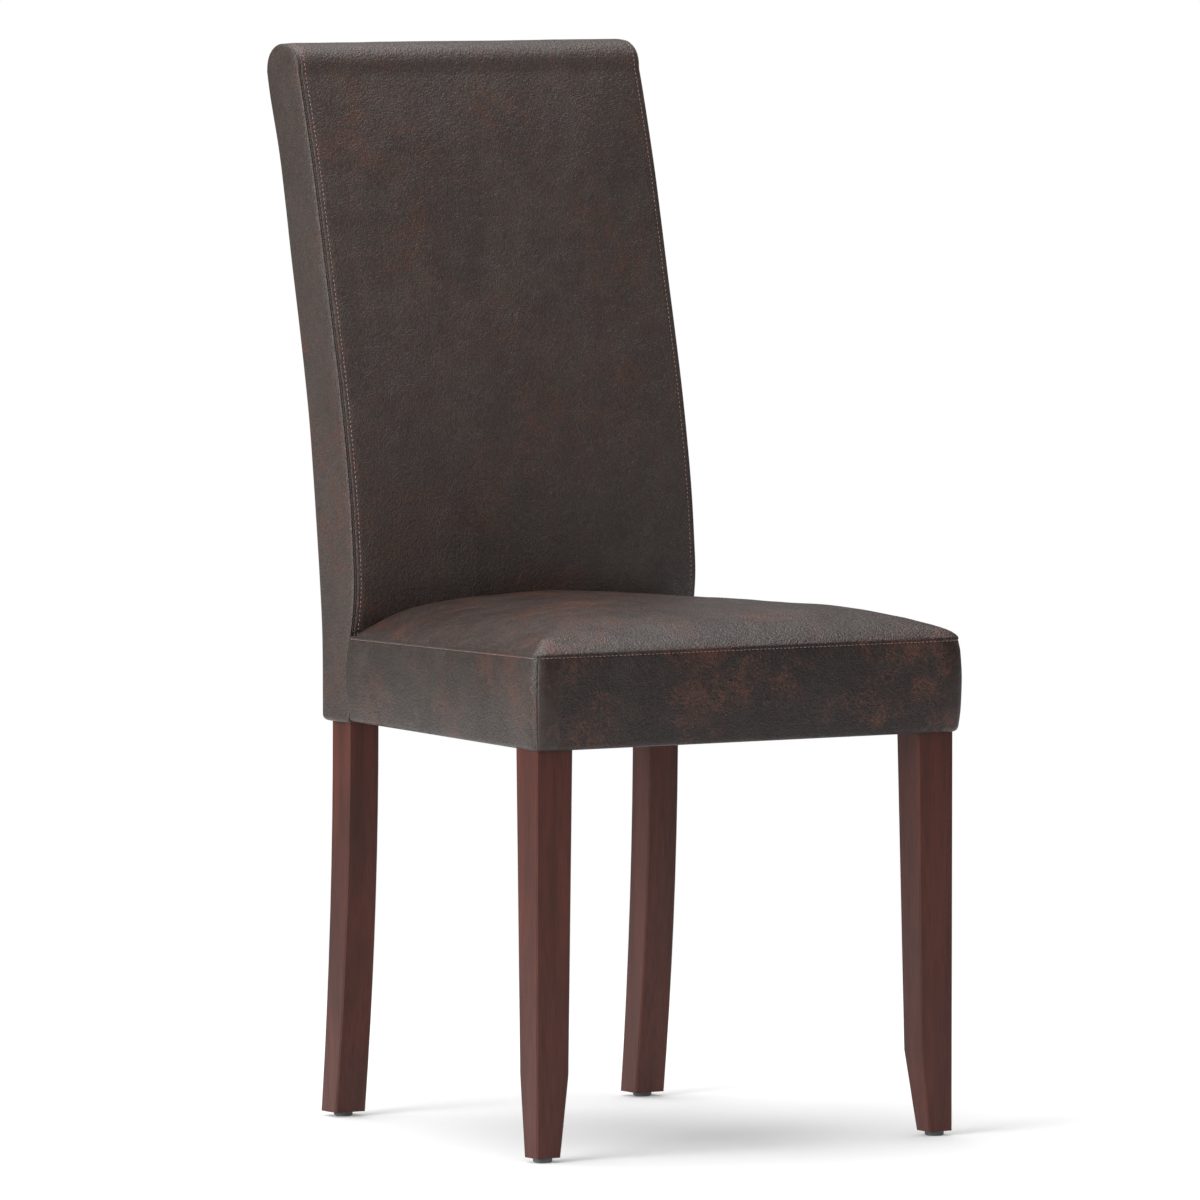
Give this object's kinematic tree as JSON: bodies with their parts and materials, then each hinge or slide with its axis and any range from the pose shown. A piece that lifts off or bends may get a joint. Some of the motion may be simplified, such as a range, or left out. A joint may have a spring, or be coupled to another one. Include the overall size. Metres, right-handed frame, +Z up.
{
  "type": "parsons chair",
  "caption": "Upholstered parsons dining chair in distressed brown leather, with a raked back rolled over at the top, a crowned seat with a stitched band, and tapered dark wooden legs.",
  "frame": {"origin": "On the floor, under the middle of the overall box.", "axes": "+Z up; the chair faces -Y; +X is to the right for someone who faces the front of the chair."},
  "size_m": [0.4636, 0.5518, 1],
  "materials": {
    "brown_leather": "distressed, semi-gloss",
    "stained_wood": "dark cherry stain, satin",
    "frame_wood": "raw sawn hardwood",
    "zinc_steel": "zinc plated",
    "grey_plastic": "matte",
    "elastic_webbing": "woven",
    "dust_cloth": "non-woven",
    "foam": "open-cell foam",
    "batting": "polyester wadding"
  },
  "bodies": {
    "root": {"back_cover_front": "brown_leather", "back_cover_outside": "brown_leather", "back_foam": "foam", "back_gusset_left": "brown_leather", "back_gusset_right": "brown_leather", "back_padding": "batting", "back_webbing": "elastic_webbing", "corner_block_front_left": "frame_wood", "corner_block_front_right": "frame_wood", "corner_block_rear_left": "frame_wood", "corner_block_rear_right": "frame_wood", "corner_bolts": "zinc_steel", "crest_rail": "frame_wood", "dust_cover": "dust_cloth", "front_leg_left": "stained_wood", "front_leg_right": "stained_wood", "front_rail": "frame_wood", "leg_glides": "grey_plastic", "lower_back_rail": "frame_wood", "rear_post_left": "stained_wood", "rear_post_right": "stained_wood", "rear_rail": "frame_wood", "seat_band_front": "brown_leather", "seat_band_left": "brown_leather", "seat_band_right": "brown_leather", "seat_cover_top": "brown_leather", "seat_foam": "foam", "seat_padding_front": "batting", "seat_padding_left": "batting", "seat_padding_right": "batting", "seat_webbing": "elastic_webbing", "side_rail_left": "frame_wood", "side_rail_right": "frame_wood"}
  },
  "joints": []
}
